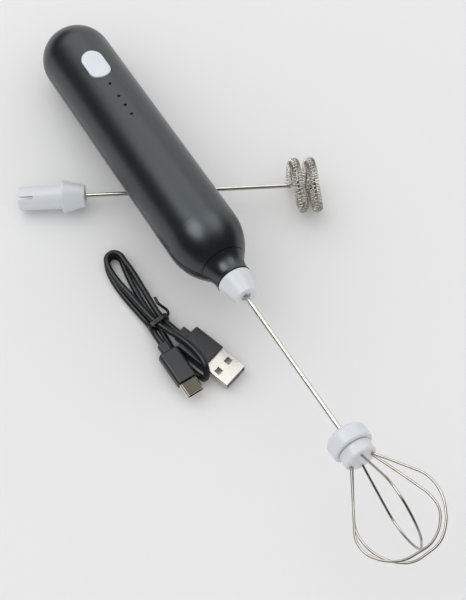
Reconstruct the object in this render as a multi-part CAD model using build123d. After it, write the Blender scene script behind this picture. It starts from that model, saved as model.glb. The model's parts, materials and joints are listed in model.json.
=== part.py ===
from build123d import *
import math
import os

os.makedirs("parts", exist_ok=True)

# Rechargeable hand milk frother with its fitted egg whisk, a spare double
# spring frothing head and a folded USB charging cable, laid out on a table.
# Handle pieces are drawn about the handle's own axis: Z runs from the tail to
# the whisk, Z = 0 is the centre of the round tail, +X is the button side.

# ---------------------------------------------------------------- handle
BODY_R = 16.5            # outer radius of the grip
BODY_STRAIGHT = 121.0    # tail centre to the start of the shoulder
SHELL_WALL = 1.8
SHOULDER_R = 28.0        # convex shoulder arc
SHOULDER_TURN = 38.7     # degrees turned by the shoulder and back by the neck
NECK_R = 12.5            # concave neck arc
SPLIT_W = 0.44           # line where the half shells meet
SPLIT_DEPTH = 0.25
COLLAR_EDGE = 0.35       # bevel on the collar's back edge
NECK_LIP = 1.2           # short straight lip at the neck's mouth
NOSE_SPIGOT = 4.0        # collar's spigot inside the shells
SPIGOT_WALL = 1.6
FIT_GAP = 0.05           # glued or pressed pieces of one body
MOVE_GAP = 0.3           # pieces that move past each other
RUN_GAP = 0.03           # running fits, on the radius

# ---------------------------------------------------------------- button
BUTTON_Z = 21.8
BUTTON_LEN = 17.6
BUTTON_W = 10.0
BUTTON_PROUD = 0.6
BUTTON_FLANGE = 1.1
BUTTON_FLANGE_T = 0.9
BUTTON_TRAVEL = 0.5
LIGHT_Z = (36.0, 44.7, 50.9, 57.1)
LIGHT_R = 0.7

# ---------------------------------------------------------------- inside
CELL_R = 9.2             # 18650 cell
CELL_LEN = 65.0
CELL_DROP = 3.5          # cell axis below the handle axis
CELL_Z = 2.0
TRAY_WALL = 1.4
TRAY_END = 3.0
BOARD_TOP = 8.0
BOARD_T = 1.2
BOARD_W = 18.0
SWITCH_SIDE = 6.0
SWITCH_H = 2.6
PLUNGER_R = 1.7
MOTOR_R = 10.2
MOTOR_LEN = 25.0
MOTOR_Z = 88.0
MOTOR_WALL = 0.8
MOTOR_BOSS_R = 3.0
MOTOR_BOSS = 1.5
MAGNET_T = 1.4
SHAFT_R = 1.0
BUSH_R = 2.4
BUSH_LEN = 2.0

# ---------------------------------------------------------------- drive
SPINDLE_R = 2.5
SPINDLE_FLANGE_R = 4.6
SPINDLE_FLANGE_T = 2.0
PIN_R = 0.4
SLOT_W = 1.4
SLOT_LEN = 7.3

# ---------------------------------------------------------------- heads
STEM_R = 5.5
STEM_LEN = 20.4
CONE_R = 7.55
CONE_TIP_R = 5.0
CONE_LEN = 10.0
CONE_RECESS_R = 2.2
CONE_RECESS = 0.8
STEM_BORE_LEN = 16.6
STEM_CHAMFER = 0.9
ROD_R = 1.0
ROD_SEAT = 6.0           # rod length held in the cone
HUB_SEAT = 10.0          # rod length held in the hub
ROD_FREE = 74.7          # whisk rod, cone face to hub
HUB_BACK_R = 6.9
HUB_R = 8.6
HUB_LEN = 7.6
HUB_CHAMFER = 1.6
HUB_ROUND = 0.9
CAP_ROUND = 1.3
CAP_R = 6.85
CAP_LEN = 5.3
CAP_GROOVE = 0.4
WIRE_R = 0.5
WIRE_SEAT = 3.0
WIRE_RING_R = 4.7        # circle of wire holes in the hub's face
# one row a loop: turn about the axis, widest radius, depth below the hub,
# station of the widest part, and how far its crown leans across and along
# its own plane, because hand-bent loops are never quite true
LOOPS = (
    (114.5, 17.2, 43.7, 20.5, 0.0, 0.2),
    (98.0, 16.4, 42.2, 26.0, -1.6, 3.2),
    (8.0, 18.3, 39.5, 19.5, 0.0, 0.3),
)

# ---------------------------------------------------------------- spare head
RING_TUBE_R = 2.5
RING_R = 10.3            # centreline of the double ring
RING_PITCH = 7.1
RING_TURNS = 1.667
RING_START = -30.0       # degrees from the far side, towards the top
SPARE_BEND = 3.0
SPARE_ROD_FREE = 93.9    # cone face to the ring's first turn
SPARE_YAW = 1.6
SPARE_SPIN = 28.0        # slot turned towards the near side
REST_GAP = 0.03

# ---------------------------------------------------------------- lying pose
HANDLE_YAW = 59.9        # degrees from +X towards -Y
HANDLE_TILT = 8.2        # nose raised by the spare head's rod
HANDLE_ROLL = -4.4       # button side about the handle's axis
TAIL_X = -72.9
TAIL_Y = 117.6
SPARE_X = -77.2
SPARE_Y = 48.6

# ---------------------------------------------------------------- cable
CABLE_D = 2.8
A_W = 12.0               # standard-A plug shell
A_H = 4.5
A_LEN = 12.9
A_WALL = 0.3
A_WINDOW = 2.8
A_WINDOW_X = 5.9
A_WINDOW_Y = 3.1
A_GRIP_W = 12.8
A_GRIP_H = 7.6
A_GRIP_LEN = 14.9
C_W = 8.34               # type-C plug shell
C_H = 2.56
C_LEN = 6.7
C_WALL = 0.3
C_GRIP_W = 9.6
C_GRIP_H = 5.8
C_GRIP_LEN = 15.4
BOSS_LEN = 4.4
PORT_W = 8.94
PORT_H = 3.26
PORT_LEN = 7.4
PORT_WALL = 0.3
PORT_BOARD_T = 1.2

A_X = -23.3               # end of the plug's strain relief
A_Y = -18.0
A_YAW = 40.5
C_X = -30.6
C_Y = -24.6
C_Z = 6.5
C_YAW = 56.0
C_PITCH = -3.0           # nose down
C_ROLL = -3.0

# ---------------------------------------------------------------- cable tie
TIE_AT = (-33.2, -12.6, 4.1)
TIE_YAW = 50.5
TIE_W = 8.8
TIE_H = 6.4
TIE_T = 0.7
TIE_BAND = 1.9
TIE_TAIL_R = 0.65
TIE_TAIL = (
    (-29.6, -11.2, 6.4),
    (-28.1, -9.6, 5.7),
    (-28.9, -7.6, 5.9),
    (-31.5, -6.4, 7.4),
    (-33.0, -5.2, 7.9),
    (-34.2, -2.5, 7.7),
)

# ---------------------------------------------------------------- cable route
# Inner points of the cable's route; the plugs' bosses give both ends.
ROUTE = (
    (-32.2, -10.2, 5.2),
    (-36.4, -2.8, 4.8),
    (-40.8, 5.0, 4.5),
    (-45.2, 12.6, 4.5),
    (-48.4, 17.0, 4.5),
    (-50.6, 20.6, 4.5),
    (-54.2, 21.6, 4.5),
    (-56.9, 18.9, 4.5),
    (-55.6, 13.6, 4.5),
    (-51.4, 7.2, 4.5),
    (-45.8, 0.8, 4.6),
    (-40.2, -6.2, 5.0),
    (-34.6, -12.7, 5.4),
    (-28.2, -18.0, 6.6),
    (-21.6, -23.0, 8.8),
    (-16.2, -28.4, 9.4),
    (-12.9, -32.9, 9.4),
    (-11.4, -36.2, 9.2),
    (-11.1, -38.9, 6.8),
    (-12.1, -39.6, 3.2),
    (-15.0, -37.2, 1.5),
    (-19.2, -33.4, 1.5),
    (-24.6, -28.1, 1.5),
    (-29.1, -20.0, 1.8),
    (-33.2, -12.4, 2.3),
    (-38.0, -5.6, 1.9),
    (-42.4, 2.0, 1.5),
    (-46.0, 9.2, 1.5),
    (-48.6, 15.2, 1.5),
    (-50.4, 20.2, 1.5),
    (-54.0, 21.4, 1.5),
    (-56.8, 18.7, 1.5),
    (-55.8, 13.3, 1.5),
    (-52.0, 6.0, 1.5),
    (-47.0, -0.8, 1.6),
    (-41.6, -7.4, 2.0),
    (-36.6, -13.6, 2.6),
)

# ---------------------------------------------------------------- derived
INNER_R = BODY_R - SHELL_WALL
TURN = math.radians(SHOULDER_TURN)
SEAM_Z = BODY_STRAIGHT + SHOULDER_R * math.sin(TURN)
SEAM_R = BODY_R - SHOULDER_R * (1 - math.cos(TURN))
NECK_Z = SEAM_Z + NECK_R * math.sin(TURN)
MOUTH_R = SEAM_R - NECK_R * (1 - math.cos(TURN))
RIM_Z = NECK_Z + NECK_LIP
BORE_R = STEM_R + MOVE_GAP
CONE_Z = RIM_Z + MOVE_GAP
STEM_Z = CONE_Z - STEM_LEN
TIP_Z = CONE_Z + CONE_LEN
HUB_Z = TIP_Z + ROD_FREE
CAP_Z = HUB_Z + HUB_LEN
CAP_END = CAP_Z + CAP_GROOVE + CAP_LEN
MOTOR_END = MOTOR_Z + MOTOR_LEN
FLANGE_Z = MOTOR_END + MOTOR_BOSS + 3.6
SPINDLE_END = STEM_Z + STEM_BORE_LEN - 1.0
PIN_Z = STEM_Z + SLOT_LEN / 2
PORT_Z = -math.sqrt(BODY_R ** 2 - (PORT_W / 2) ** 2) + 0.3
TRAY_Z = CELL_Z - TRAY_END
TRAY_TOP = CELL_Z + CELL_LEN + 0.4
BOARD_Z0 = TRAY_Z
BOARD_Z1 = TRAY_TOP + TRAY_END
CELL_X = -CELL_DROP
PLUNGER_TOP = BOARD_TOP + SWITCH_H + 2 * BUTTON_TRAVEL


NODES = {}


def save(shape, name):
    NODES[name] = shape


def tube(r_out, r_in, z0, z1):
    ring = Cylinder(r_out, z1 - z0) - Cylinder(r_in, z1 - z0 + 2)
    return Pos(0, 0, (z0 + z1) / 2) * ring


def rod(r, z0, z1):
    return Pos(0, 0, (z0 + z1) / 2) * Cylinder(r, z1 - z0)


def block(x0, x1, y0, y1, z0, z1):
    box = Box(x1 - x0, y1 - y0, z1 - z0)
    return Pos((x0 + x1) / 2, (y0 + y1) / 2, (z0 + z1) / 2) * box


def turned(points):
    outline = Polyline(*[(r, 0, z) for r, z in points], close=True)
    return revolve(make_face(outline), Axis.Z, 360)


def handle_plane():
    yaw = math.radians(HANDLE_YAW)
    tilt = math.radians(HANDLE_TILT)
    axis = Vector(
        math.cos(yaw) * math.cos(tilt),
        -math.sin(yaw) * math.cos(tilt),
        math.sin(tilt),
    )
    side = axis.cross(Vector(0, 0, 1)).normalized()
    upward = side.cross(axis)
    roll = math.radians(HANDLE_ROLL)
    button = upward * math.cos(roll) + side * math.sin(roll)
    return Plane(origin=(TAIL_X, TAIL_Y, BODY_R), x_dir=button, z_dir=axis)


PLACE = handle_plane().location


def place(shape):
    return shape.moved(PLACE)


# ================================================================ handle
def body_outline(inset, end):
    """Closed half section of the grip, inset from its outer surface."""
    r = BODY_R - inset
    turn_r = SHOULDER_R - inset
    cx = BODY_R - SHOULDER_R
    stop = min(math.asin((end - BODY_STRAIGHT) / turn_r), TURN)
    start = (0, 0, -r)
    equator = (r, 0, 0)
    shoulder = (r, 0, BODY_STRAIGHT)
    mid = stop / 2
    arc_mid = (cx + turn_r * math.cos(mid), 0, BODY_STRAIGHT + turn_r * math.sin(mid))
    arc_end = (cx + turn_r * math.cos(stop), 0, BODY_STRAIGHT + turn_r * math.sin(stop))
    tail_mid = (r * math.sin(math.pi / 4), 0, -r * math.cos(math.pi / 4))
    edges = [
        ThreePointArc(start, tail_mid, equator),
        Line(equator, shoulder),
        ThreePointArc(shoulder, arc_mid, arc_end),
        Line(arc_end, (0, 0, arc_end[2])),
        Line((0, 0, arc_end[2]), start),
    ]
    return make_face(edges)


def body_solid(inset, end):
    return revolve(body_outline(inset, end), Axis.Z, 360)


def button_shape(grow, x0, x1):
    face = SlotOverall(BUTTON_LEN + 2 * grow, BUTTON_W + 2 * grow)
    plane = Plane(origin=(x0, 0, BUTTON_Z), x_dir=(0, 0, 1), z_dir=(1, 0, 0))
    return extrude(plane * face, x1 - x0)


def port_cutout(grow, z0, z1):
    face = RectangleRounded(PORT_H + 2 * grow, PORT_W + 2 * grow, PORT_H / 2 - 0.05 + grow)
    return extrude(Plane(origin=(0, 0, z0)) * face, z1 - z0)


def shell_body():
    inner_end = SEAM_Z - SHELL_WALL
    shell = body_solid(0, SEAM_Z) - body_solid(SHELL_WALL, inner_end)
    shell -= rod(BORE_R + SPIGOT_WALL + FIT_GAP, SEAM_Z - 12, SEAM_Z + 1)
    shell -= button_shape(MOVE_GAP, 4, BODY_R + 4)
    shell -= port_cutout(FIT_GAP, -BODY_R - 2, -8)
    for z in LIGHT_Z:
        shell -= light_pipe(z, FIT_GAP, BODY_R + 1)
    return shell


def light_pipe(z, grow, x1):
    return Pos((BOARD_TOP + 1 + x1) / 2, 0, z) * (
        Rot(0, 90, 0) * Cylinder(LIGHT_R + grow, x1 - BOARD_TOP - 1)
    )


def handle_shells():
    shell = shell_body()
    reach = BODY_R + 2
    upper = block(0, reach, -reach, reach, -reach, RIM_Z)
    lower = block(-reach, 0, -reach, reach, -reach, RIM_Z)
    groove = body_solid(-0.5, SEAM_Z) - body_solid(SPLIT_DEPTH, SEAM_Z)
    groove &= block(-SPLIT_W / 2, SPLIT_W / 2, -reach, reach, -reach, SEAM_Z - 0.5)
    top = (shell & upper) - groove
    bottom = (shell & lower) - groove
    save(place(top), "handle_top_shell")
    save(place(bottom), "handle_bottom_shell")


def nose_collar():
    r_spigot = BORE_R + SPIGOT_WALL
    edge_r = SEAM_R - 0.1
    cx = MOUTH_R + NECK_R
    mid = TURN / 2
    arc_mid = (cx - NECK_R * math.cos(mid), 0, NECK_Z - NECK_R * math.sin(mid))
    edges = [
        Line((edge_r - COLLAR_EDGE, 0, SEAM_Z), (edge_r, 0, SEAM_Z + COLLAR_EDGE)),
        ThreePointArc((edge_r, 0, SEAM_Z + COLLAR_EDGE), arc_mid, (MOUTH_R, 0, NECK_Z)),
        Line((MOUTH_R, 0, NECK_Z), (MOUTH_R + 0.15, 0, RIM_Z)),
        Line((MOUTH_R + 0.15, 0, RIM_Z), (BORE_R, 0, RIM_Z)),
        Line((BORE_R, 0, RIM_Z), (BORE_R, 0, SEAM_Z - NOSE_SPIGOT)),
        Line((BORE_R, 0, SEAM_Z - NOSE_SPIGOT), (r_spigot, 0, SEAM_Z - NOSE_SPIGOT)),
        Line((r_spigot, 0, SEAM_Z - NOSE_SPIGOT), (r_spigot, 0, SEAM_Z)),
        Line((r_spigot, 0, SEAM_Z), (edge_r - COLLAR_EDGE, 0, SEAM_Z)),
    ]
    collar = revolve(make_face(edges), Axis.Z, 360)
    save(place(collar), "nose_collar")


def flange_top():
    half = BUTTON_W / 2 + BUTTON_FLANGE
    return math.sqrt(INNER_R ** 2 - half ** 2) - MOVE_GAP


def power_button():
    top = flange_top()
    cap = button_shape(0, top - BUTTON_FLANGE_T, BODY_R + 3)
    crown = Pos(0, 0, BUTTON_Z) * Cylinder(BODY_R + BUTTON_PROUD, 3 * BUTTON_LEN)
    cap &= crown
    rim = [e for e in cap.edges() if e.center().X > BODY_R - 2.5]
    rim = [e for e in rim if abs(e.center().Z - BUTTON_Z) > 0.01 or abs(e.center().Y) > 3]
    rim = [e for e in rim if e.length > 3]
    cap = fillet(rim, 0.5)
    flange = button_shape(BUTTON_FLANGE, top - BUTTON_FLANGE_T, top)
    post = block(PLUNGER_TOP, top, -2.4, 2.4, BUTTON_Z - 2.4, BUTTON_Z + 2.4)
    save(place(cap + flange + post), "power_button")


def tact_switch():
    half = SWITCH_SIDE / 2
    body = block(BOARD_TOP, BOARD_TOP + SWITCH_H, -half, half, BUTTON_Z - half, BUTTON_Z + half)
    well = Rot(0, 90, 0) * Cylinder(PLUNGER_R + MOVE_GAP, 1.6)
    body -= Pos(BOARD_TOP + SWITCH_H, 0, BUTTON_Z) * well
    save(place(body), "tact_switch")
    x0 = BOARD_TOP + SWITCH_H - 0.1
    pin = Rot(0, 90, 0) * Cylinder(PLUNGER_R, PLUNGER_TOP - x0)
    save(place(Pos((x0 + PLUNGER_TOP) / 2, 0, BUTTON_Z) * pin), "switch_plunger")


def light_pipes():
    pipes = [light_pipe(z, 0, BODY_R - 0.15) for z in LIGHT_Z]
    save(place(Compound(children=pipes)), "light_pipes")
    leds = []
    for z in LIGHT_Z:
        leds.append(block(BOARD_TOP, BOARD_TOP + 0.8, -0.8, 0.8, z - 0.6, z + 0.6))
    save(place(Compound(children=leds)), "indicator_leds")


# ================================================================ electronics
def board_screw(z):
    head = Pos(BOARD_TOP + 0.5, 0, z) * (Rot(0, 90, 0) * Cylinder(1.5, 1.0))
    shank = Pos(BOARD_TOP - 2.5, 0, z) * (Rot(0, 90, 0) * Cylinder(0.8, 5.0))
    drive = Pos(BOARD_TOP + 1.0, 0, z) * Box(1.0, 0.35, 1.8)
    return head + shank - drive


def screw_places():
    return (BOARD_Z0 + TRAY_END / 2, BOARD_Z1 - TRAY_END / 2)


def main_board():
    board = block(BOARD_TOP - BOARD_T, BOARD_TOP, -BOARD_W / 2, BOARD_W / 2, BOARD_Z0, BOARD_Z1)
    board = fillet(board.edges().filter_by(Axis.X), 1.0)
    screws = []
    for z in screw_places():
        board -= Pos(BOARD_TOP - BOARD_T / 2, 0, z) * (Rot(0, 90, 0) * Cylinder(0.85, 3))
        screws.append(board_screw(z))
    save(place(board), "main_board")
    save(place(Compound(children=screws)), "board_screws")


def battery_tray():
    """Half trough under the cell with two end walls that carry the board."""
    r_in = CELL_R + 0.15
    z0 = TRAY_Z
    z1 = BOARD_Z1
    trough = Pos(CELL_X, 0, 0) * tube(r_in + TRAY_WALL, r_in, z0, z1)
    trough &= block(-BODY_R, CELL_X, -BODY_R, BODY_R, z0, z1)
    under = block(-BODY_R, BOARD_TOP - BOARD_T, -BODY_R, BODY_R, z0, z1)
    walls = []
    for a, b in ((z0, z0 + TRAY_END), (z1 - TRAY_END, z1)):
        wall = rod(INNER_R - 0.4, a, b) & under
        walls.append(wall)
    tray = trough + walls[0] + walls[1]
    tray &= rod(INNER_R - 0.2, z0, z1)
    for z in screw_places():
        tray -= Pos(BOARD_TOP - 2.5, 0, z) * (Rot(0, 90, 0) * Cylinder(0.8, 5.2))
    save(place(tray), "battery_tray")


def battery():
    cell = Pos(CELL_X, 0, 0) * rod(CELL_R, CELL_Z, CELL_Z + CELL_LEN - 1.0)
    cell = fillet(cell.edges().filter_by(GeomType.CIRCLE), 0.6)
    cell += Pos(CELL_X, 0, 0) * rod(3.0, CELL_Z + CELL_LEN - 1.2, CELL_Z + CELL_LEN)
    save(place(cell), "battery_cell")
    x1 = CELL_X + 3
    front = block(CELL_X - 3, x1, -3, 3, CELL_Z + CELL_LEN, CELL_Z + CELL_LEN + 0.3)
    save(place(front), "battery_tab")


def charge_port():
    z1 = PORT_Z + PORT_LEN
    outer = port_cutout(0, PORT_Z, z1)
    cavity = port_cutout(-PORT_WALL, PORT_Z - 1, z1 - 0.8)
    save(place(outer - cavity), "charge_socket")
    tongue = block(-0.35, 0.35, -3.34, 3.34, PORT_Z + 1.0, z1 - 0.8)
    save(place(tongue), "charge_socket_tongue")
    x1 = -PORT_H / 2
    x0 = x1 - PORT_BOARD_T
    half = min(6.0, math.sqrt(INNER_R ** 2 - (PORT_Z + 2.6) ** 2 - x0 ** 2) - 0.4)
    board = block(x0, x1, -half, half, PORT_Z + 2.6, TRAY_Z)
    save(place(board), "charge_board")


# ================================================================ motor
def motor():
    r_in = MOTOR_R - MOTOR_WALL
    can = tube(MOTOR_R, r_in, MOTOR_Z, MOTOR_END)
    can += tube(MOTOR_R, BUSH_R, MOTOR_END - MOTOR_WALL, MOTOR_END)
    can += tube(MOTOR_BOSS_R, BUSH_R, MOTOR_END - 0.01, MOTOR_END + MOTOR_BOSS)
    for side in (-1, 1):
        can -= Pos(0, side * 6.5, MOTOR_END) * Cylinder(0.8, 4)
    save(place(can), "motor_can")
    magnets = []
    ring = tube(r_in, r_in - MAGNET_T, MOTOR_Z + 3.5, MOTOR_END - 4.5)
    for side in (-1, 1):
        magnets.append(ring & block(-6, 6, min(0, side * 20), max(0, side * 20), 0, RIM_Z))
    save(place(Compound(children=magnets)), "motor_magnets")
    cap = rod(r_in, MOTOR_Z, MOTOR_Z + 2.0) + rod(4.0, MOTOR_Z - 2.0, MOTOR_Z)
    cap -= rod(BUSH_R, MOTOR_Z - 2.0, MOTOR_Z + 2.1)
    tabs = []
    for side in (-1, 1):
        cap -= block(-1.2, 1.2, side * 6.2 - 0.3, side * 6.2 + 0.3, MOTOR_Z - 1, MOTOR_Z + 3)
        tabs.append(block(-1.2, 1.2, side * 6.2 - 0.3, side * 6.2 + 0.3, MOTOR_Z - 3, MOTOR_Z + 2))
    save(place(cap), "motor_end_cap")
    save(place(Compound(children=tabs)), "motor_terminals")
    rear = tube(BUSH_R, SHAFT_R + RUN_GAP, MOTOR_Z - 2.0, MOTOR_Z - 2.0 + BUSH_LEN)
    front_z = MOTOR_END + MOTOR_BOSS - BUSH_LEN
    front = tube(BUSH_R, SHAFT_R + RUN_GAP, front_z, front_z + BUSH_LEN)
    save(place(Compound(children=[rear, front])), "motor_bushes")


def motor_holder():
    r_in = MOTOR_R + FIT_GAP
    r_out = INNER_R - 0.1
    z1 = MOTOR_END + 2.4
    sleeve = tube(r_out, r_in, MOTOR_Z + 3, MOTOR_END)
    plate = rod(r_out, MOTOR_END, z1) - rod(MOTOR_BOSS_R + 0.1, MOTOR_END - 1, z1 + 1)
    holder = sleeve + plate
    screws = []
    for side in (-1, 1):
        holder -= Pos(0, side * 6.5, z1) * Cylinder(1.0, 6)
        head = Pos(0, side * 6.5, z1 + 0.6) * Cylinder(1.8, 1.2)
        shank = Pos(0, side * 6.5, z1 - 1.8) * Cylinder(0.8, 3.6)
        slot = Pos(0, side * 6.5, z1 + 1.2) * Box(2.6, 0.5, 1.0)
        screws.append(head + shank - slot)
    for x in (-1, 1):
        notch = block(min(0, x * 20), max(0, x * 20), -2.2, 2.2, MOTOR_Z, MOTOR_END - 6)
        holder -= notch - rod(r_in + 1.2, MOTOR_Z - 1, MOTOR_END)
    save(place(holder), "motor_holder")
    save(place(Compound(children=screws)), "motor_screws")


def shaft_seal():
    z0 = FLANGE_Z + SPINDLE_FLANGE_T + MOVE_GAP
    lip = tube(SPINDLE_FLANGE_R + 1.4, SPINDLE_R + 0.35, z0, z0 + 0.9)
    skirt_z = MOTOR_END + 2.4
    skirt = tube(SPINDLE_FLANGE_R + 1.4, SPINDLE_FLANGE_R + MOVE_GAP, skirt_z, z0 + 0.01)
    seal = lip + skirt
    for side in (-1, 1):
        seal -= Pos(0, side * 6.5, skirt_z) * Cylinder(1.8 + FIT_GAP, 4)
    save(place(seal), "splash_seal")


def rotor():
    r_gap = MOTOR_R - MOTOR_WALL - MAGNET_T - 0.4
    core = tube(r_gap, SHAFT_R, MOTOR_Z + 4.5, MOTOR_END - 5.5)
    for i in range(3):
        slot = block(r_gap - 3.2, r_gap + 1, -0.5, 0.5, MOTOR_Z, MOTOR_END)
        core -= Rot(0, 0, 120 * i) * slot
    core += tube(2.0, SHAFT_R, MOTOR_Z + 2.2, MOTOR_Z + 4.6)
    save(place(core), "motor_rotor")
    save(place(rod(SHAFT_R, MOTOR_Z - 2.6, FLANGE_Z + 5.0)), "motor_shaft")


def spindle():
    body = rod(SPINDLE_FLANGE_R, FLANGE_Z, FLANGE_Z + SPINDLE_FLANGE_T)
    body += rod(SPINDLE_R, FLANGE_Z, SPINDLE_END)
    body = chamfer(body.faces().sort_by(Axis.Z)[-1].edges(), 0.4)
    body -= rod(SHAFT_R, FLANGE_Z - 1, FLANGE_Z + 5.0)
    cross = Pos(0, 0, PIN_Z) * (Rot(90, 0, 0) * Cylinder(PIN_R, 2 * (STEM_R - 0.6)))
    save(place(body - cross), "drive_spindle")
    save(place(cross), "drive_pin")


# ================================================================ heads
def coupling():
    """Split stem and cone, drawn about Z with the stem end at Z = 0."""
    body = turned(
        [
            (0, 0),
            (STEM_R - STEM_CHAMFER, 0),
            (STEM_R, STEM_CHAMFER),
            (STEM_R, STEM_LEN),
            (CONE_R - 0.3, STEM_LEN),
            (CONE_R, STEM_LEN + 0.3),
            (CONE_TIP_R, STEM_LEN + CONE_LEN),
            (0, STEM_LEN + CONE_LEN),
        ]
    )
    body -= rod(SPINDLE_R + RUN_GAP, -1, STEM_BORE_LEN)
    top = STEM_LEN + CONE_LEN
    body -= rod(CONE_RECESS_R, top - CONE_RECESS, top + 1)
    body -= rod(ROD_R, top - ROD_SEAT, top)
    half = SLOT_W / 2
    reach = STEM_R + 1
    slot = block(-half, half, -reach, reach, -1, SLOT_LEN)
    return body - slot


def outer_rims(shape, least):
    """Circular edges at or outside a radius, ordered along Z."""
    rims = shape.edges().filter_by(GeomType.CIRCLE)
    return ShapeList([e for e in rims if e.radius > least - 0.01]).sort_by(Axis.Z)


def whisk_head():
    save(place(Pos(0, 0, STEM_Z) * coupling()), "whisk_coupling")
    save(place(rod(ROD_R, TIP_Z - ROD_SEAT, HUB_Z + HUB_SEAT)), "whisk_rod")
    hub = turned(
        [
            (0, HUB_Z),
            (HUB_BACK_R, HUB_Z),
            (HUB_R, HUB_Z + HUB_CHAMFER),
            (HUB_R, CAP_Z),
            (0, CAP_Z),
        ]
    )
    hub = fillet(outer_rims(hub, HUB_BACK_R), HUB_ROUND)
    hub -= rod(ROD_R, HUB_Z - 1, CAP_Z + 1)
    save(place(hub), "whisk_hub_ring")
    cap = turned(
        [
            (0, CAP_Z),
            (CAP_R - 0.5, CAP_Z),
            (CAP_R - 0.5, CAP_Z + CAP_GROOVE),
            (CAP_R, CAP_Z + CAP_GROOVE),
            (CAP_R, CAP_END),
            (0, CAP_END),
        ]
    )
    cap = fillet(outer_rims(cap, CAP_R)[-1:], CAP_ROUND)
    cap -= rod(ROD_R, CAP_Z - 1, HUB_Z + HUB_SEAT)
    for order, loop in enumerate(whisk_loops()):
        cap -= loop
        save(place(loop), "whisk_loop_" + str(order + 1))
    save(place(cap), "whisk_hub_cap")


def corner_radii(points):
    """Largest smooth radius for each corner of a route."""
    radii = []
    for i in range(1, len(points) - 1):
        a = Vector(*points[i]) - Vector(*points[i - 1])
        b = Vector(*points[i + 1]) - Vector(*points[i])
        turn = math.radians(a.get_angle(b))
        radii.append(0.45 * min(a.length, b.length) / math.tan(turn / 2))
    return radii


def route_tube(points, r):
    radii = corner_radii(points)
    path = FilletPolyline(*points, radius=radii)
    wire = path if isinstance(path, Wire) else Wire(path.edges())
    start = Plane(origin=wire @ 0, z_dir=wire % 0)
    solid = sweep(start * Circle(r), path=wire)
    expect = math.pi * r * r * wire.length
    return solid, wire.length, min(radii), solid.volume / expect


def loop_points(widest, depth, flare):
    """Half outline of a whisk loop, from inside the hub cap to its crown."""
    below = depth - flare
    half = (WIRE_RING_R + 0.52 * (widest - WIRE_RING_R), 0.5 * flare)
    slope = (half[0] - WIRE_RING_R) / half[1]
    return [
        (WIRE_RING_R - slope * WIRE_SEAT, -WIRE_SEAT),
        half,
        (widest + 0.3, flare),
        (widest + 0.1, flare + 0.42 * below),
        (0.74 * widest, flare + 0.79 * below),
        (0.36 * widest, depth + 0.35),
    ]


def whisk_loops():
    loops = []
    for angle, widest, depth, flare, across, along in LOOPS:
        half = loop_points(widest, depth, flare)
        outline = half + [(-r, z) for r, z in reversed(half)]
        points = []
        for r, z in outline:
            out = max(z, 0)
            points.append((r + along * min(1, out / flare), across * out / depth, CAP_END + z))
        solid, length, least, ratio = route_tube(points, WIRE_R)
        print("whisk loop length", round(length, 1), "least radius", round(least, 2), round(ratio, 4))
        loops.append(Rot(0, 0, angle) * solid)
    return loops


# ================================================================ spare head
def spare_plane():
    """Cone edge and ring both rest on the table, so the rod climbs a little."""
    low = (270.0 - RING_START) % 360 / 360 * RING_PITCH
    run = CONE_LEN + SPARE_ROD_FREE + low
    tilt = math.asin((RING_R + RING_TUBE_R - CONE_R) / run)
    yaw = math.radians(SPARE_YAW)
    axis = Vector(
        math.cos(yaw) * math.cos(tilt),
        math.sin(yaw) * math.cos(tilt),
        math.sin(tilt),
    )
    base = CONE_R / math.cos(tilt) + REST_GAP
    origin = Vector(SPARE_X, SPARE_Y, base) - axis * STEM_LEN
    side = Vector(-math.sin(yaw), math.cos(yaw), 0)
    return Plane(origin=origin, x_dir=side, z_dir=axis)


def spare_head():
    where = spare_plane().location
    save((Rot(0, 0, SPARE_SPIN) * coupling()).moved(where), "spare_coupling")
    tip = STEM_LEN + CONE_LEN
    ring_z = tip + SPARE_ROD_FREE
    start = math.radians(RING_START)
    reach = RING_R
    corner = (0, 0, ring_z)
    out = (reach * math.cos(start), reach * math.sin(start), ring_z)
    path = FilletPolyline((0, 0, tip - ROD_SEAT), corner, out, radius=SPARE_BEND)
    wire = sweep(Plane(origin=(0, 0, tip - ROD_SEAT)) * Circle(ROD_R), path=path)
    save(wire.moved(where), "spare_rod")
    helix = Helix(RING_PITCH, RING_PITCH * RING_TURNS, RING_R)
    section = Plane(origin=helix @ 0, z_dir=helix % 0) * Circle(RING_TUBE_R)
    ring = sweep(section, path=helix, is_frenet=True)
    ratio = ring.volume / (math.pi * RING_TUBE_R ** 2 * helix.length)
    print("spring ring volume ratio", round(ratio, 4), "valid", ring.is_valid)
    ring = Pos(0, 0, ring_z) * (Rot(0, 0, RING_START) * ring)
    save((ring - wire).moved(where), "spare_spring_ring")


# ================================================================ cable
def plug_plane(x, y, z, yaw, pitch, roll):
    """Plug frame: X to the mating face, Y across the plug, Z up."""
    spin = Rot(0, 0, -yaw) * Rot(0, -pitch, 0) * Rot(roll, 0, 0)
    return Pos(x, y, z) * spin


A_PLACE = plug_plane(A_X, A_Y, A_GRIP_H / 2, A_YAW, 0, 0)
C_PLACE = plug_plane(C_X, C_Y, C_Z, C_YAW, C_PITCH, C_ROLL)


def grip(length, width, height, bevel):
    body = block(BOSS_LEN, BOSS_LEN + length, -width / 2, width / 2, -height / 2, height / 2)
    body = fillet(body.edges().filter_by(Axis.X), bevel)
    body = chamfer(body.faces().sort_by(Axis.X)[0].edges(), 0.5)
    boss = block(0, BOSS_LEN + 0.5, -width / 4, width / 4, -height / 3, height / 3)
    boss = fillet(boss.edges().filter_by(Axis.X), 1.0)
    return body + boss


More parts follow.
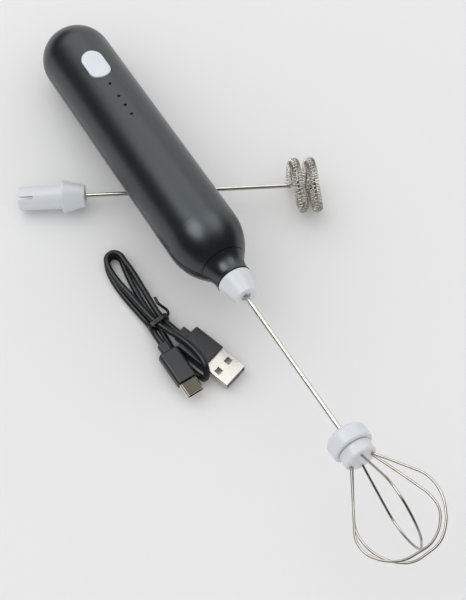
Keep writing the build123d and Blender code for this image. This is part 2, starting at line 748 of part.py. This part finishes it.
def usb_a():
    save(grip(A_GRIP_LEN, A_GRIP_W, A_GRIP_H, 0.9).moved(A_PLACE), "usb_a_grip")
    x0 = BOSS_LEN + A_GRIP_LEN
    x1 = x0 + A_LEN
    shell = block(x0, x1, -A_W / 2, A_W / 2, -A_H / 2, A_H / 2)
    shell = fillet(shell.edges().filter_by(Axis.X), 0.4)
    w = A_W / 2 - A_WALL
    h = A_H / 2 - A_WALL
    shell -= block(x0 + 1, x1 + 1, -w, w, -h, h)
    for side in (-1, 1):
        window = Pos(x0 + A_WINDOW_X, side * A_WINDOW_Y, 0) * Box(A_WINDOW, A_WINDOW, 2 * A_H)
        shell -= window
    save(shell.moved(A_PLACE), "usb_a_shell")
    tongue = block(x0 + 1, x1 - 1.0, -w + 0.15, w - 0.15, -h + 0.05, -0.1)
    save(tongue.moved(A_PLACE), "usb_a_tongue")


def usb_c():
    save(grip(C_GRIP_LEN, C_GRIP_W, C_GRIP_H, 1.6).moved(C_PLACE), "usb_c_grip")
    x0 = BOSS_LEN + C_GRIP_LEN
    face = RectangleRounded(C_W, C_H, C_H / 2 - 0.02)
    plane = Plane(origin=(x0, 0, 0), x_dir=(0, 1, 0), z_dir=(1, 0, 0))
    outer = extrude(plane * face, C_LEN)
    hole = RectangleRounded(C_W - 2 * C_WALL, C_H - 2 * C_WALL, C_H / 2 - 0.02 - C_WALL)
    inner = extrude(Plane(origin=(x0 + 1, 0, 0), x_dir=(0, 1, 0), z_dir=(1, 0, 0)) * hole, C_LEN)
    save((outer - inner).moved(C_PLACE), "usb_c_shell")
    lining = extrude(
        Plane(origin=(x0 + 1, 0, 0), x_dir=(0, 1, 0), z_dir=(1, 0, 0)) * hole, C_LEN - 1.3
    )
    slot = block(x0 + 1.8, x0 + C_LEN + 1, -3.0, 3.0, -0.45, 0.45)
    save((lining - slot).moved(C_PLACE), "usb_c_insert")


def boss_end(placed):
    """Centre of a plug's boss face, and a point one cable width behind it."""
    here = placed.position
    back = (placed * Pos(-6.0, 0, 0)).position
    return tuple(here), tuple(back)


def cable():
    start, start_back = boss_end(A_PLACE)
    end, end_back = boss_end(C_PLACE)
    points = [start, start_back] + list(ROUTE) + [end_back, end]
    solid, length, least, ratio = route_tube(points, CABLE_D / 2)
    print("cable length", round(length, 1), "least radius", round(least, 2))
    print("cable volume ratio", round(ratio, 4))
    print("cable radii", [round(r, 1) for r in corner_radii(points)])
    save(solid, "usb_cable")


def cable_tie():
    """Twist tie drawn tight on the four strands, with its twisted end."""
    spin = Pos(*TIE_AT) * Rot(0, 0, -TIE_YAW)
    full = RectangleRounded(TIE_H + 2 * TIE_T, TIE_W + 2 * TIE_T, 2.6)
    void = RectangleRounded(TIE_H, TIE_W, 2.0)
    turn = Rot(0, 90, 0)
    band = turn * (extrude(full, TIE_BAND) - Pos(0, 0, -1) * extrude(void, TIE_BAND + 2))
    tail, length, least, ratio = route_tube(TIE_TAIL, TIE_TAIL_R)
    print("tie tail length", round(length, 1), "volume ratio", round(ratio, 4))
    tie = band.moved(spin) + tail
    save(tie - NODES["usb_cable"], "cable_tie")


def main():
    handle_shells()
    nose_collar()
    power_button()
    tact_switch()
    light_pipes()
    main_board()
    battery_tray()
    battery()
    charge_port()
    motor()
    motor_holder()
    shaft_seal()
    rotor()
    spindle()
    whisk_head()
    spare_head()
    usb_a()
    usb_c()
    cable()
    cable_tie()
    write_out()


def write_out():
    """Stand the set on Z = 0 with its base centred on the origin."""
    cords = ("usb_", "cable_")
    rest = [s for n, s in NODES.items() if not n.startswith(cords)]
    boxes = [s.bounding_box() for s in rest]
    x = (min(b.min.X for b in boxes) + max(b.max.X for b in boxes)) / 2
    y = (min(b.min.Y for b in boxes) + max(b.max.Y for b in boxes)) / 2
    low = min(b.min.Z for b in boxes)
    shift = Pos(-x, -y, 0)
    print("shift", -x, -y, "lowest", low)
    for name, shape in NODES.items():
        moved = shift * shape
        moved.label = name
        export_step(moved, "parts/" + name + ".step")
    handle = shift * PLACE
    spare = shift * spare_plane().location
    stations = (("rim", RIM_Z), ("spindle tip", SPINDLE_END), ("stem", STEM_Z), ("port", PORT_Z))
    for name, z in stations + (("button", BUTTON_Z), ("cap end", CAP_END), ("motor", MOTOR_Z)):
        print(name, (handle * Pos(0, 0, z)).position)
    ring_z = STEM_LEN + CONE_LEN + SPARE_ROD_FREE
    for name, z in (("spare stem", 0), ("spare cone", STEM_LEN), ("spare ring", ring_z)):
        print(name, (spare * Pos(0, 0, z)).position)
    for name, where in (("handle", handle), ("spare", spare)):
        plane = Plane(where)
        print(name, "axis", plane.z_dir, "x", plane.x_dir)
    route = [start_end()[0], start_end()[1]] + list(ROUTE) + [start_end()[3], start_end()[2]]
    for p in route:
        print("(%.2f, %.2f, %.2f)," % (p[0] - x, p[1] - y, p[2]))


def start_end():
    return boss_end(A_PLACE) + boss_end(C_PLACE)


main()
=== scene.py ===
import json
import math
import bpy
from mathutils import Matrix, Vector


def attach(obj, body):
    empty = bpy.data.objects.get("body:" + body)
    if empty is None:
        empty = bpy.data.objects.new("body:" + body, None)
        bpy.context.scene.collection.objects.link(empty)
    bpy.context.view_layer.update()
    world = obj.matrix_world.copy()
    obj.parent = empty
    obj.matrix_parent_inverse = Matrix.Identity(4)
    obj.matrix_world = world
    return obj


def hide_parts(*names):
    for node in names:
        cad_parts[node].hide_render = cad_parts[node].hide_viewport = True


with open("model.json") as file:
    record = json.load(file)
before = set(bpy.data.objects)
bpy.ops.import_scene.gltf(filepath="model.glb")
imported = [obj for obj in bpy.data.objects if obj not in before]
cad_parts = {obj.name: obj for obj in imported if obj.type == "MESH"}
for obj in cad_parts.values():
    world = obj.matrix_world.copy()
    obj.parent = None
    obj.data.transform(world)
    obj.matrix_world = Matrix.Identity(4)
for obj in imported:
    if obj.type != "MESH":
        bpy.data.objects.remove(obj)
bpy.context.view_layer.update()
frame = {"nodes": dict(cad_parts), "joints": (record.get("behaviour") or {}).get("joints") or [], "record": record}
NODES = frame["nodes"]
JOINTS = {j["name"]: j for j in frame["joints"]}
MOUNTS = {m["name"]: m for m in frame["record"]["mounts"]}
MM = 0.001

# ---------------------------------------------------------------- camera
LOOK_AT = Vector((0.00963, 0.00010, 0.0))
CAMERA_UP = math.radians(64.04)
CAMERA_FAR = 0.6039
SENSOR_HEIGHT = 24.0      # mm
LENS = 54.344             # mm
CLIP_START = 0.01


def link(obj):
    bpy.context.collection.objects.link(obj)
    return obj


def make_camera():
    data = bpy.data.cameras.new("camera")
    data.sensor_fit = "VERTICAL"
    data.sensor_height = SENSOR_HEIGHT
    data.lens = LENS
    data.clip_start = CLIP_START
    camera = link(bpy.data.objects.new("camera", data))
    back = Vector((0.0, -math.cos(CAMERA_UP), math.sin(CAMERA_UP)))
    camera.location = LOOK_AT + back * CAMERA_FAR
    camera.rotation_euler = (math.pi / 2 - CAMERA_UP, 0.0, 0.0)
    bpy.context.scene.camera = camera


# ---------------------------------------------------------------- shader nodes
VARIATION_LOW = 0.3       # the noise values that the colour and gloss ranges span
VARIATION_HIGH = 0.7
NOISE_ROUGHNESS = 0.55


def new_material(name):
    material = bpy.data.materials.new(name)
    material.use_nodes = True
    tree = material.node_tree
    return material, tree, tree.nodes["Principled BSDF"]


def node(tree, kind, **settings):
    made = tree.nodes.new(kind)
    for key, value in settings.items():
        setattr(made, key, value)
    return made


def place_coords(tree, stretch=(1.0, 1.0, 1.0), turn=(0.0, 0.0, 0.0)):
    coords = node(tree, "ShaderNodeTexCoord")
    mapping = node(tree, "ShaderNodeMapping")
    mapping.inputs["Scale"].default_value = stretch
    mapping.inputs["Rotation"].default_value = turn
    tree.links.new(coords.outputs["Object"], mapping.inputs["Vector"])
    return mapping.outputs["Vector"]


def noise(tree, vector, scale, detail):
    made = node(tree, "ShaderNodeTexNoise")
    made.inputs["Scale"].default_value = scale
    made.inputs["Detail"].default_value = detail
    made.inputs["Roughness"].default_value = NOISE_ROUGHNESS
    tree.links.new(vector, made.inputs["Vector"])
    return made.outputs["Fac"]


def map_range(tree, value, from_range, to_range, curve="LINEAR"):
    made = node(tree, "ShaderNodeMapRange", interpolation_type=curve)
    made.inputs["From Min"].default_value = from_range[0]
    made.inputs["From Max"].default_value = from_range[1]
    made.inputs["To Min"].default_value = to_range[0]
    made.inputs["To Max"].default_value = to_range[1]
    tree.links.new(value, made.inputs["Value"])
    return made.outputs["Result"]


def tint(tree, value, first, last, start=VARIATION_LOW, end=VARIATION_HIGH):
    ramp = node(tree, "ShaderNodeValToRGB")
    ramp.color_ramp.elements[0].position = start
    ramp.color_ramp.elements[1].position = end
    ramp.color_ramp.elements[0].color = (*first, 1.0)
    ramp.color_ramp.elements[1].color = (*last, 1.0)
    tree.links.new(value, ramp.inputs["Fac"])
    return ramp.outputs["Color"]


def set_gloss(tree, shader, value, rough, spread_by):
    """Roughness that varies by spread_by to either side of rough."""
    gloss = map_range(tree, value, (VARIATION_LOW, VARIATION_HIGH), (rough - spread_by, rough + spread_by))
    tree.links.new(gloss, shader.inputs["Roughness"])


def bump(tree, shader, value, strength, depth):
    made = node(tree, "ShaderNodeBump")
    made.inputs["Strength"].default_value = strength
    made.inputs["Distance"].default_value = depth
    tree.links.new(value, made.inputs["Height"])
    tree.links.new(made.outputs["Normal"], shader.inputs["Normal"])


# ---------------------------------------------------------------- plastics
SKIN_CLOUD = 90.0         # scale of the slow colour and gloss variation
SKIN_CLOUD_DETAIL = 4.0
SKIN_GRAIN_DETAIL = 2.0


def moulded(name, dark, pale, rough, spread_by, grain, depth, strength, **sockets):
    """Moulded plastic or rubber: fine skin texture, slight colour and gloss variation."""
    material, tree, shader = new_material(name)
    vector = place_coords(tree)
    cloud = noise(tree, vector, SKIN_CLOUD, SKIN_CLOUD_DETAIL)
    fine = noise(tree, vector, grain, SKIN_GRAIN_DETAIL)
    tree.links.new(tint(tree, cloud, dark, pale), shader.inputs["Base Color"])
    set_gloss(tree, shader, cloud, rough, spread_by)
    bump(tree, shader, fine, strength, depth)
    for key, value in sockets.items():
        shader.inputs[key.replace("_", " ")].default_value = value
    return material


def soft_touch_black():
    return moulded(
        "soft_touch_black", dark=(0.0045, 0.0054, 0.0061), pale=(0.0058, 0.0067, 0.0075),
        rough=0.31, spread_by=0.02, grain=5200.0, depth=0.01 * MM, strength=0.15,
        Specular_IOR_Level=0.75, Specular_Tint=(0.88, 0.96, 1.0, 1.0),
    )


def plug_grip_black():
    return moulded(
        "plug_grip_black", dark=(0.012, 0.013, 0.014), pale=(0.018, 0.019, 0.020),
        rough=0.42, spread_by=0.05, grain=3600.0, depth=0.03 * MM, strength=0.4,
    )


def cable_jacket():
    return moulded(
        "cable_jacket", dark=(0.007, 0.007, 0.008), pale=(0.011, 0.011, 0.012),
        rough=0.36, spread_by=0.05, grain=2400.0, depth=0.02 * MM, strength=0.3,
        Specular_IOR_Level=0.4,
    )


def head_white():
    return moulded(
        "head_white", dark=(0.65, 0.68, 0.71), pale=(0.68, 0.71, 0.745),
        rough=0.34, spread_by=0.04, grain=1500.0, depth=0.02 * MM, strength=0.2,
        Subsurface_Weight=0.25, Subsurface_Scale=4.0 * MM, Coat_Weight=0.1,
    )


def button_white():
    return moulded(
        "button_white", dark=(0.68, 0.72, 0.77), pale=(0.71, 0.75, 0.80),
        rough=0.30, spread_by=0.04, grain=1500.0, depth=0.02 * MM, strength=0.2,
        Subsurface_Weight=0.2, Subsurface_Scale=3.0 * MM,
    )


def lens_dark():
    return moulded(
        "lens_dark", dark=(0.002, 0.002, 0.002), pale=(0.003, 0.003, 0.003),
        rough=0.60, spread_by=0.03, grain=2000.0, depth=0.01 * MM, strength=0.2,
        Specular_IOR_Level=0.05,
    )


def plug_insert():
    return moulded(
        "plug_insert", dark=(0.02, 0.02, 0.02), pale=(0.03, 0.03, 0.03),
        rough=0.5, spread_by=0.05, grain=2400.0, depth=0.02 * MM, strength=0.3,
    )


def plug_tongue():
    return moulded(
        "plug_tongue", dark=(0.50, 0.52, 0.55), pale=(0.56, 0.58, 0.61),
        rough=0.5, spread_by=0.05, grain=2400.0, depth=0.02 * MM, strength=0.3,
    )


# ---------------------------------------------------------------- metals
FINISH_SCALE = 900.0      # fine marks of the finish
METAL_CLOUD = 160.0
METAL_DETAIL = 3.0
FINISH_DEPTH = 0.01 * MM
PLUG_STRETCH = (0.2, 1.0, 1.0)
PLUG_TURN = (0.0, 0.0, 0.7)
PAINTED_HIGHLIGHT_END_Z = 0.80      # upward part of the surface direction where the painted highlight on the rolled edges ends
# upward part of the surface direction from which the top face gets the painted dark reflection
PAINTED_DARK_TOP_Z = 0.96


def bare_metal(name, rough, spread_by, strength, stretch, turn):
    """Metal with fine marks in its gloss and relief, still without a colour."""
    material, tree, shader = new_material(name)
    marks = noise(tree, place_coords(tree, stretch, turn), FINISH_SCALE, METAL_DETAIL)
    set_gloss(tree, shader, marks, rough, spread_by)
    bump(tree, shader, marks, strength, FINISH_DEPTH)
    shader.inputs["Metallic"].default_value = 1.0
    return material, tree, shader


def metal(name, dark, pale, rough, spread_by, strength, stretch=(1.0, 1.0, 1.0), turn=(0.0, 0.0, 0.0)):
    material, tree, shader = bare_metal(name, rough, spread_by, strength, stretch, turn)
    cloud = noise(tree, place_coords(tree), METAL_CLOUD, METAL_DETAIL)
    tree.links.new(tint(tree, cloud, dark, pale), shader.inputs["Base Color"])
    return material


def rod_steel():
    return metal(
        "rod_steel", dark=(0.54, 0.52, 0.47), pale=(0.62, 0.60, 0.55),
        rough=0.22, spread_by=0.03, strength=0.04,
    )


# Darker copy of the rod's steel: painted dark reflection on the whisk loops and painted shade on the ring's core
# between the windings.
def painted_shade_steel():
    return metal(
        "painted_shade_steel", dark=(0.36, 0.33, 0.29), pale=(0.44, 0.41, 0.37),
        rough=0.24, spread_by=0.03, strength=0.04,
    )


# Brighter copy of the steel: painted highlight on the ring's windings.
def painted_highlight_steel():
    return metal(
        "painted_highlight_steel", dark=(0.58, 0.55, 0.50), pale=(0.70, 0.67, 0.61),
        rough=0.24, spread_by=0.04, strength=0.05,
    )


def plug_nickel():
    return metal(
        "plug_nickel", dark=(0.56, 0.535, 0.49), pale=(0.60, 0.575, 0.53),
        rough=0.30, spread_by=0.05, strength=0.1, stretch=PLUG_STRETCH, turn=PLUG_TURN,
    )


def painted_reflection_nickel():
    """Nickel with a painted dark reflection on its top face and a painted highlight on its rolled edges, told
    apart by the surface's own direction.
    """
    material, tree, shader = bare_metal(
        "painted_reflection_nickel", rough=0.22, spread_by=0.05, strength=0.1, stretch=PLUG_STRETCH, turn=PLUG_TURN,
    )
    parts = node(tree, "ShaderNodeSeparateXYZ")
    tree.links.new(node(tree, "ShaderNodeTexCoord").outputs["Normal"], parts.inputs["Vector"])
    # painted highlight colour for the rolled edges, painted dark reflection colour for the top face
    painted_edge_highlight = (0.80, 0.77, 0.70)
    painted_top_dark_reflection = (0.085, 0.075, 0.058)
    colour = tint(tree, parts.outputs["Z"], painted_edge_highlight, painted_top_dark_reflection, PAINTED_HIGHLIGHT_END_Z, PAINTED_DARK_TOP_Z)
    tree.links.new(colour, shader.inputs["Base Color"])
    return material


# ---------------------------------------------------------------- pieces
def curve_piece(name, points, radius, material, rows, resolution):
    """Wire or cord: a round tube along an open curve of order three."""
    data = bpy.data.curves.new(name, "CURVE")
    data.dimensions = "3D"
    data.resolution_u = resolution
    data.bevel_depth = radius
    data.bevel_resolution = rows
    data.use_fill_caps = True
    spline = data.splines.new("NURBS")
    spline.points.add(len(points) - 1)
    for point, place in zip(spline.points, points):
        point.co = (*place, 1.0)
    spline.order_u = 3
    spline.use_endpoint_u = True
    spline.resolution_u = resolution
    data.materials.append(material)
    return link(bpy.data.objects.new(name, data))


def paint(material, *names):
    for name in names:
        for slot in NODES[name].material_slots:
            slot.material = material


# ---------------------------------------------------------------- cable
CABLE_D = 0.0028
ROUTE = (
    (-0.01367, -0.01790, 0.00380),
    (-0.01823, -0.01400, 0.00380),
    (-0.02257, -0.01010, 0.00520),
    (-0.02677, -0.00270, 0.00480),
    (-0.03117, 0.00510, 0.00450),
    (-0.03557, 0.01270, 0.00450),
    (-0.03877, 0.01710, 0.00450),
    (-0.04097, 0.02070, 0.00450),
    (-0.04457, 0.02170, 0.00450),
    (-0.04727, 0.01900, 0.00450),
    (-0.04597, 0.01370, 0.00450),
    (-0.04177, 0.00730, 0.00450),
    (-0.03617, 0.00090, 0.00460),
    (-0.03057, -0.00610, 0.00500),
    (-0.02497, -0.01260, 0.00540),
    (-0.01857, -0.01790, 0.00660),
    (-0.01197, -0.02290, 0.00880),
    (-0.00657, -0.02830, 0.00940),
    (-0.00327, -0.03280, 0.00940),
    (-0.00177, -0.03610, 0.00920),
    (-0.00147, -0.03880, 0.00680),
    (-0.00247, -0.03950, 0.00320),
    (-0.00537, -0.03710, 0.00150),
    (-0.00957, -0.03330, 0.00150),
    (-0.01497, -0.02800, 0.00150),
    (-0.01947, -0.01990, 0.00180),
    (-0.02357, -0.01230, 0.00230),
    (-0.02837, -0.00550, 0.00190),
    (-0.03277, 0.00210, 0.00150),
    (-0.03637, 0.00930, 0.00150),
    (-0.03897, 0.01530, 0.00150),
    (-0.04077, 0.02030, 0.00150),
    (-0.04437, 0.02150, 0.00150),
    (-0.04717, 0.01880, 0.00150),
    (-0.04617, 0.01340, 0.00150),
    (-0.04237, 0.00610, 0.00150),
    (-0.03737, -0.00070, 0.00160),
    (-0.03197, -0.00730, 0.00200),
    (-0.02697, -0.01350, 0.00260),
    (-0.02432, -0.01953, 0.00681),
    (-0.02097, -0.02450, 0.00650),
)


def make_cable():
    jacket = cable_jacket()
    cable = curve_piece("usb_cable_jacket", ROUTE, CABLE_D / 2, jacket, rows=8, resolution=16)
    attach(cable, "cable")
    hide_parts("usb_cable")
    paint(jacket, "cable_tie")
    paint(plug_grip_black(), "usb_a_grip", "usb_c_grip")
    paint(plug_nickel(), "usb_a_shell", "charge_socket")
    paint(painted_reflection_nickel(), "usb_c_shell")
    paint(plug_insert(), "usb_c_insert", "charge_socket_tongue")
    paint(plug_tongue(), "usb_a_tongue")


# ---------------------------------------------------------------- spring ring
SPARE_AXIS = -Vector(JOINTS["spare_slide"]["axis"]).normalized()
SPARE_BORE = Vector(MOUNTS["spare_stem_bore"]["pos_m"])
STEM_TO_RING = 124.3 * MM
STEM_TO_BORE = 8.3 * MM
RING_TUBE_R = 2.5 * MM
RING_R = 10.3 * MM
RING_PITCH = 7.1 * MM
RING_START = math.radians(-30.0)
COIL_FIRST = math.radians(-34.0)      # the coil hides the rod's hook
COIL_LAST = math.radians(705.0)
COIL_BACK_FROM = math.radians(560.0)  # from here the ring leans back on itself
COIL_BACK = 0.97 * MM                 # per radian squared
COIL_WIRE_R = 0.26 * MM
COIL_PITCH = 1.5 * MM
COIL_STEPS = 12                       # curve points to one winding
TANGENT_STEP = 0.01                   # radians
CORE_WIRE_R = 0.6 * MM
CORE_STEP = math.radians(10.0)


def axes_matrix(origin, x_dir, z_dir):
    y_dir = z_dir.cross(x_dir)
    turn = Matrix((x_dir, y_dir, z_dir)).transposed()
    return Matrix.Translation(origin) @ turn.to_4x4()


def ring_frame():
    side = Vector((-SPARE_AXIS.y, SPARE_AXIS.x, 0.0)).normalized()
    return axes_matrix(SPARE_BORE + SPARE_AXIS * (STEM_TO_RING - STEM_TO_BORE), side, SPARE_AXIS)


def ring_middle(angle):
    """Middle of the wound ring and the outward direction there, in the ring's own frame."""
    out = Vector((math.cos(angle + RING_START), math.sin(angle + RING_START), 0.0))
    back = max(0.0, angle - COIL_BACK_FROM)
    height = RING_PITCH * angle / (2 * math.pi) - COIL_BACK * back * back
    return out * RING_R + Vector((0.0, 0.0, height)), out


def core_points():
    to_frame = ring_frame()
    count = int((COIL_LAST - COIL_FIRST) / CORE_STEP)
    return [to_frame @ ring_middle(COIL_FIRST + CORE_STEP * i)[0] for i in range(count + 1)]


def coil_points():
    """Centreline of the fine wire wound round the ring."""
    to_frame = ring_frame()
    length = (COIL_LAST - COIL_FIRST) * math.hypot(RING_R, RING_PITCH / (2 * math.pi))
    steps = int(length / COIL_PITCH * COIL_STEPS)
    winding = RING_TUBE_R - COIL_WIRE_R
    points = []
    for i in range(steps + 1):
        angle = COIL_FIRST + (COIL_LAST - COIL_FIRST) * i / steps
        spin = 2 * math.pi * i / COIL_STEPS
        middle, out = ring_middle(angle)
        along = (ring_middle(angle + TANGENT_STEP)[0] - middle).normalized()
        up = along.cross(out)
        points.append(to_frame @ (middle + winding * (math.cos(spin) * out + math.sin(spin) * up)))
    return points


def make_ring(painted_shade_core_steel):
    coil = curve_piece("spring_ring_coil", coil_points(), COIL_WIRE_R, painted_highlight_steel(), rows=2, resolution=2)
    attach(coil, "spare_head")
    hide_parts("spare_spring_ring")
    # the core in the darker steel gives painted shade between the windings
    core = curve_piece("spring_ring_core", core_points(), CORE_WIRE_R, painted_shade_core_steel, rows=4, resolution=3)
    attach(core, "spare_head")


# ---------------------------------------------------------------- handle and heads
def paint_handle():
    paint(soft_touch_black(), "handle_top_shell", "handle_bottom_shell", "nose_collar")
    paint(button_white(), "power_button")
    paint(lens_dark(), "light_pipes")


def make_heads():
    painted_shade_wires = painted_shade_steel()
    make_ring(painted_shade_wires)
    paint(painted_shade_wires, "whisk_loop_1", "whisk_loop_2", "whisk_loop_3")
    paint(rod_steel(), "whisk_rod", "spare_rod", "drive_pin", "drive_spindle")
    paint(head_white(), "whisk_coupling", "spare_coupling", "whisk_hub_ring", "whisk_hub_cap")


# ---------------------------------------------------------------- stage
FLOOR_REACH = 12.0
FLOOR_DROP = 0.02 * MM    # keeps the lowest pieces clear of the floor
FLOOR_DARK = (0.830, 0.830, 0.830)
FLOOR_PALE = (0.838, 0.838, 0.838)
FLOOR_CLOUD = 3.0
FLOOR_CLOUD_DETAIL = 2.0
FLOOR_ROUGHNESS = 0.9
FLOOR_SPECULAR = 0.05


def floor_paper():
    material, tree, shader = new_material("floor_paper")
    cloud = noise(tree, place_coords(tree), FLOOR_CLOUD, FLOOR_CLOUD_DETAIL)
    tree.links.new(tint(tree, cloud, FLOOR_DARK, FLOOR_PALE), shader.inputs["Base Color"])
    shader.inputs["Roughness"].default_value = FLOOR_ROUGHNESS
    shader.inputs["Specular IOR Level"].default_value = FLOOR_SPECULAR
    return material


def make_stage():
    mesh = bpy.data.meshes.new("floor")
    corners = [(x * FLOOR_REACH, y * FLOOR_REACH, 0.0) for x, y in ((-1, -1), (1, -1), (1, 1), (-1, 1))]
    mesh.from_pydata(corners, [], [(0, 1, 2, 3)])
    mesh.materials.append(floor_paper())
    floor = link(bpy.data.objects.new("floor", mesh))
    floor.location.z = -FLOOR_DROP


# ---------------------------------------------------------------- light
# Softboxes seen in the gloss: azimuth from +Y towards +X, elevation, inner and outer
# half angle in degrees, radiance.
SOFTBOXES = (
    (-4.0, 55.0, 20.0, 44.0, 1.75),
    (-75.0, 60.0, 10.0, 26.0, 4.6),
    (30.0, 50.0, 8.0, 26.0, 2.7),
    (15.0, 8.0, 14.0, 44.0, 1.1),
)
STUDIO_DARK = 0.10
GLOSS_COLOUR = (0.97, 0.99, 1.0, 1.0)
AMBIENT = 0.83
WHITE = (1.0, 1.0, 1.0)
KEY_AT = Vector((-0.6, 0.6, 1.3))
KEY_SIZE = 1.8
KEY_POWER = 6.5


def direction_of(azimuth, elevation):
    turn = math.radians(azimuth)
    rise = math.radians(elevation)
    return Vector((math.sin(turn) * math.cos(rise), math.cos(turn) * math.cos(rise), math.sin(rise)))


def softbox_gloss(tree):
    """Radiance of the studio in each direction: dark, with soft-edged bright patches."""
    direction = node(tree, "ShaderNodeTexCoord").outputs["Generated"]
    dark = node(tree, "ShaderNodeValue").outputs[0]
    dark.default_value = STUDIO_DARK
    total = dark
    for azimuth, elevation, inner, outer, radiance in SOFTBOXES:
        dot = node(tree, "ShaderNodeVectorMath", operation="DOT_PRODUCT")
        tree.links.new(direction, dot.inputs[0])
        dot.inputs[1].default_value = direction_of(azimuth, elevation)
        edges = (math.cos(math.radians(outer)), math.cos(math.radians(inner)))
        patch = map_range(tree, dot.outputs["Value"], edges, (0.0, radiance), curve="SMOOTHSTEP")
        brighter = node(tree, "ShaderNodeMath", operation="MAXIMUM")
        tree.links.new(total, brighter.inputs[0])
        tree.links.new(patch, brighter.inputs[1])
        total = brighter.outputs["Value"]
    return total


def make_world():
    """Even light on every surface; only gloss sees the softboxes."""
    world = bpy.data.worlds.new("studio")
    bpy.context.scene.world = world
    world.use_nodes = True
    tree = world.node_tree
    gloss = node(tree, "ShaderNodeBackground")
    gloss.inputs["Color"].default_value = GLOSS_COLOUR
    tree.links.new(softbox_gloss(tree), gloss.inputs["Strength"])
    plain = tree.nodes["Background"]
    plain.inputs["Color"].default_value = (*WHITE, 1.0)
    plain.inputs["Strength"].default_value = AMBIENT
    paths = node(tree, "ShaderNodeLightPath")
    mix = node(tree, "ShaderNodeMixShader")
    tree.links.new(paths.outputs["Is Glossy Ray"], mix.inputs["Fac"])
    tree.links.new(plain.outputs["Background"], mix.inputs[1])
    tree.links.new(gloss.outputs["Background"], mix.inputs[2])
    tree.links.new(mix.outputs["Shader"], tree.nodes["World Output"].inputs["Surface"])


def make_key_light():
    """Large soft light from above and behind, aimed at the middle of the set."""
    data = bpy.data.lights.new("key", "AREA")
    data.shape = "SQUARE"
    data.size = KEY_SIZE
    data.energy = KEY_POWER
    data.color = WHITE
    key = link(bpy.data.objects.new("key", data))
    key.location = KEY_AT
    key.rotation_euler = (-KEY_AT).to_track_quat("-Z", "Y").to_euler()
    key.visible_glossy = False


make_camera()
make_cable()
make_heads()
paint_handle()
make_stage()
make_world()
make_key_light()
bpy.context.scene.view_settings.view_transform = "Standard"
